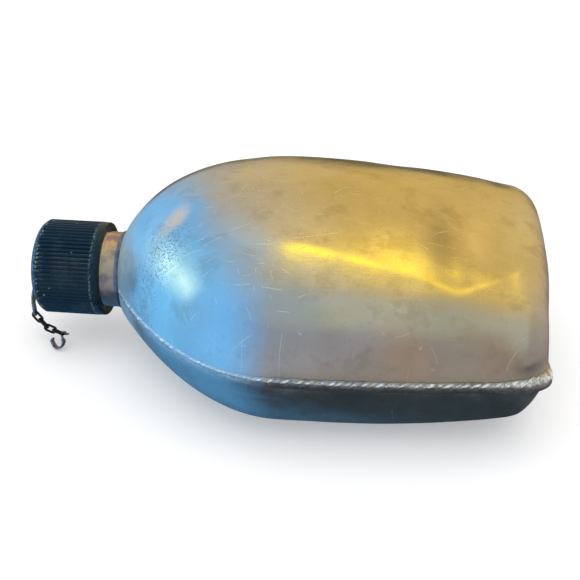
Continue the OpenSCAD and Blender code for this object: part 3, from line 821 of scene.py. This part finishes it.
def cap_profile():
    """(u, radius, rib share) from the pin's hole over the dome and ribs to the mouth, and back inside."""
    rows = []
    for a in np.linspace(88.5, 4, 26):
        rows.append((CAP_LEN - DOME_HEIGHT + DOME_HEIGHT * math.sin(math.radians(a)),
                     DOME_R * math.cos(math.radians(a)) ** 0.62, 0.0))
    rows.append((RIB_END + 0.05, DOME_R + 0.02, 0.0))
    rows += [(RIB_END - d, CAP_R, k) for d, k in ((0.15, 0.35), (0.45, 0.8), (0.9, 1.0))]
    rows += [(u, CAP_R, 1.0) for u in np.linspace(RIB_END - 2, RIB_START + 1.6, 12)]
    rows += [(RIB_START + d, CAP_R, k) for d, k in ((0.9, 1.0), (0.5, 0.75), (0.2, 0.3))]
    rows.append((RIB_START, CAP_R - 0.05, 0.0))
    rows += [(RIB_START - 0.25, CAP_R - 0.12, 0.0), (1.6, CAP_R - 0.12, 0.0), (0.7, CAP_R - 0.14, 0.0)]
    rows += [(0.25, CAP_R - 0.32, 0.0), (0.02, CAP_R - 0.75, 0.0), (0.0, CAP_BORE_R + 1.1, 0.0)]
    rows += [(0.12, CAP_BORE_R + 0.55, 0.0), (0.45, CAP_BORE_R + 0.15, 0.0), (0.9, CAP_BORE_R, 0.0)]
    rows += [(u, CAP_BORE_R, 0.0) for u in np.linspace(4, CAP_INNER_END - 0.5, 8)]
    rows += [(CAP_INNER_END, radius, 0.0) for radius in (CAP_BORE_R - 0.5, 8.0, PIN_BORE_R)]
    rows.append((CAP_LEN - 0.02, PIN_BORE_R, 0.0))
    return np.array(rows)


def ribbed_cap():
    profile = cap_profile()
    u, r, rib = profile[:, :1], profile[:, 1:2], profile[:, 2:]
    cols = RIBS * RIB_STEPS
    theta = np.arange(cols)[None] / cols * 2 * math.pi
    within = (np.arange(cols) % RIB_STEPS)[None] / RIB_STEPS
    crest = smooth(0.5 - np.abs(within - 0.5), 0.12, 0.32)
    number = np.arange(cols)[None] // RIB_STEPS
    uneven = np.array([random.uniform(-0.05, 0.05) for _ in range(RIBS)])[number]
    groove = (CAP_R - RIB_ROOT_R) * (1 - crest) - uneven * crest
    radius = r - rib * groove
    nick = np.array([random.uniform(0, 1) for _ in range(RIBS)])[number]
    s = RIM_S + u + 0 * theta
    world = to_world(s, radius * np.cos(theta), radius * np.sin(theta))
    rows = len(profile)
    obj = new_mesh("cap_body", world.reshape(-1, 3), grid_faces(rows, cols, True, True), 40)
    near_dome = hump(u, RIB_END - 0.1, 0.55) * (r > RIB_ROOT_R)
    near_rim = hump(u, RIB_START + 0.2, 0.35) * (r > RIB_ROOT_R)
    # near_rim is a painted highlight line along the rim-side ends of the ribs; the chips near the dome and
    # the scattered rubs are wear.
    worn_and_highlight = near_dome * crest * (nick > 0.25) * (0.55 + 0.45 * nick) + near_rim * 0.42
    worn_and_highlight = worn_and_highlight + 0.25 * rib * crest * (nick > 0.9) * smooth(np.sin(u * 1.7 + number), 0.75, 0.95)
    # painted highlight round the dome's outer edge
    dome_edge = smooth(u, RIB_END + 0.4, RIB_END + 1.2) * (1 - smooth(u, CAP_LEN - 1.5, CAP_LEN))
    worn_and_highlight = worn_and_highlight + 0.36 * dome_edge * (r > CAP_R - 5)
    add_attribute(obj, "wear_and_painted_highlight", clip(worn_and_highlight))
    return obj


# ---------------------------------------------------------------------------
# Putting the pieces on the frame
# ---------------------------------------------------------------------------
def dress(obj, body, material, slot, *nodes):
    obj.data.materials.clear()
    obj.data.materials.append(material)
    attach(obj, body)
    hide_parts(*nodes)


def finish_node(name, material):
    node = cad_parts[name]
    if not node.material_slots:
        node.data.materials.append(material)
    for place in node.material_slots:
        place.material = material


shell_skin = shell_metal()
steel_strip = plated_steel()
dark_wire = blackened_steel()
dress(half_shell("front_shell_sheet", True), "canteen", shell_skin, "shell_metal", "front_shell")
dress(half_shell("back_shell_sheet", False), "canteen", shell_skin, "shell_metal", "back_shell")
dress(seam_weld(), "canteen", weld_metal(), "weld_metal", "seam_weld")
cap_body = ribbed_cap()
cap_body.visible_glossy = False
dress(cap_body, "cap", cap_plastic(), "cap_plastic", "cap_shell")
finish_node("neck", neck_metal())
finish_node("neck_weld", collar_metal())
finish_node("cap_gasket", gasket_rubber())
for steel_node in ("cap_pin", "pin_washer", "chain_strap", "end_hook"):
    finish_node(steel_node, steel_strip)
for number in range(1, 5):
    finish_node(f"link_{number}", dark_wire)


# ---------------------------------------------------------------------------
# Floor, light and camera
# ---------------------------------------------------------------------------
def floor():
    rows = cols = 41
    reach = 6.0
    steps = np.linspace(-1, 1, rows)
    line = np.sign(steps) * steps**2 * reach
    x, y = np.meshgrid(line, line, indexing="ij")
    points = np.stack([x, y, 0 * x], -1).reshape(-1, 3)
    obj = new_mesh("studio_floor", points, grid_faces(rows, cols, flip=True))
    material, g = new_material("floor_paper")
    tone = g.blend(g.ramp(g.noise(2, 2), 0.3, 0.7), (0.70, 0.70, 0.70), (0.685, 0.685, 0.69))
    normal = g.bump(g.noise(400, 2), 0.05, 0.0002)
    paper = {"Roughness": 0.9, "Specular IOR Level": 0.1, "Emission Color": tone, "Emission Strength": 0.42}
    g.finish({"Base Color": tone, "Normal": normal, **paper})
    obj.data.materials.append(material)
    obj.visible_glossy = False


def direction(azimuth, elevation):
    """0 is towards the viewer's side (-Y), 90 towards +X; up is positive."""
    a, e = math.radians(azimuth), math.radians(elevation)
    return (math.sin(a) * math.cos(e), -math.cos(a) * math.cos(e), math.sin(e))


# What the metal mirrors, besides the ceiling and the table, each over the ones before it:
# azimuth, elevation, half angle where it starts, half angle where it is full, colour.
GLOWS = [
    (165, 38, 72, 26, (0.69, 0.46, 0.12)),
    (-88, 5, 92, 40, (0.20, 0.58, 1.04)),
    (-93, 24, 24, 5, (0.72, 1.16, 1.24)),
    (-94, 25, 9, 2, (1.10, 1.45, 1.45)),
    (-176, 74, 10, 2, (1.90, 1.42, 0.10)),
    (163, 73, 10.5, 2, (1.90, 1.36, 0.10)),
    (150, 58, 10, 2, (1.90, 1.30, 0.12)),
    (180, -48, 50, 40, (0.12, 0.10, 0.06)),
]


def studio_world():
    """Soft room light: warm lamps behind and above, a cool window on the cap's side, a dark table below."""
    world = bpy.data.worlds.new("studio")
    bpy.context.scene.world = world
    world.use_nodes = True
    g = Graph(world.node_tree)
    aim = g.add("ShaderNodeTexCoord").outputs["Generated"]

    def lobe(azimuth, elevation, start, full):
        axis = direction(azimuth, elevation)
        along = g.add("ShaderNodeVectorMath", {0: aim, 1: axis}, operation="DOT_PRODUCT").outputs["Value"]
        return g.ramp(along, math.cos(math.radians(start)), math.cos(math.radians(full)))

    tone = g.blend(lobe(0, 90, 62, 46), (0.34, 0.295, 0.25), (0.46, 0.44, 0.31))
    for *place, colour in GLOWS:
        tone = g.blend(lobe(*place), tone, colour)
    dark = g.blend(lobe(-100, -35, 62, 20), (0.032, 0.046, 0.056), (0.085, 0.27, 0.50))
    tone = g.blend(lobe(0, -90, 56, 46), tone, dark)
    room = g.add("ShaderNodeBackground", {"Color": tone, "Strength": 1.0}).outputs[0]
    plain = g.add("ShaderNodeBackground", {"Color": (1, 1, 1, 1), "Strength": 0.95}).outputs[0]
    glossy = g.add("ShaderNodeLightPath").outputs["Is Glossy Ray"]
    both = g.add("ShaderNodeMixShader", {0: glossy, 1: plain, 2: room}).outputs[0]
    out = g.add("ShaderNodeOutputWorld")
    g.tree.links.new(both, out.inputs[0])


def softbox(name, azimuth, elevation, distance, size, power):
    light = bpy.data.lights.new(name, "AREA")
    light.shape = "DISK"
    light.size = size
    light.energy = power
    obj = bpy.data.objects.new(name, light)
    bpy.context.scene.collection.objects.link(obj)
    obj.location = Vector(direction(azimuth, elevation)) * distance
    obj.rotation_euler = (-obj.location).to_track_quat("-Z", "Y").to_euler()
    obj.visible_glossy = False


LENS = 67.27
LOOK_AT = (0.003985, -0.00238, 0.02856)
LOOK_FROM = (6.19, 31.93)
LOOK_DISTANCE = 0.43684


def camera():
    """Stands where the photograph was taken from."""
    data = bpy.data.cameras.new("camera")
    data.lens = LENS
    data.sensor_width = 36
    data.clip_start = 0.01
    obj = bpy.data.objects.new("camera", data)
    bpy.context.scene.collection.objects.link(obj)
    target = Vector(LOOK_AT)
    obj.location = target + Vector(direction(*LOOK_FROM)) * LOOK_DISTANCE
    obj.rotation_euler = (target - obj.location).to_track_quat("-Z", "Y").to_euler()
    bpy.context.scene.camera = obj


floor()
studio_world()
softbox("overhead", 20, 75, 1.2, 1.4, 6)
camera()
bpy.context.scene.view_settings.view_transform = "Standard"
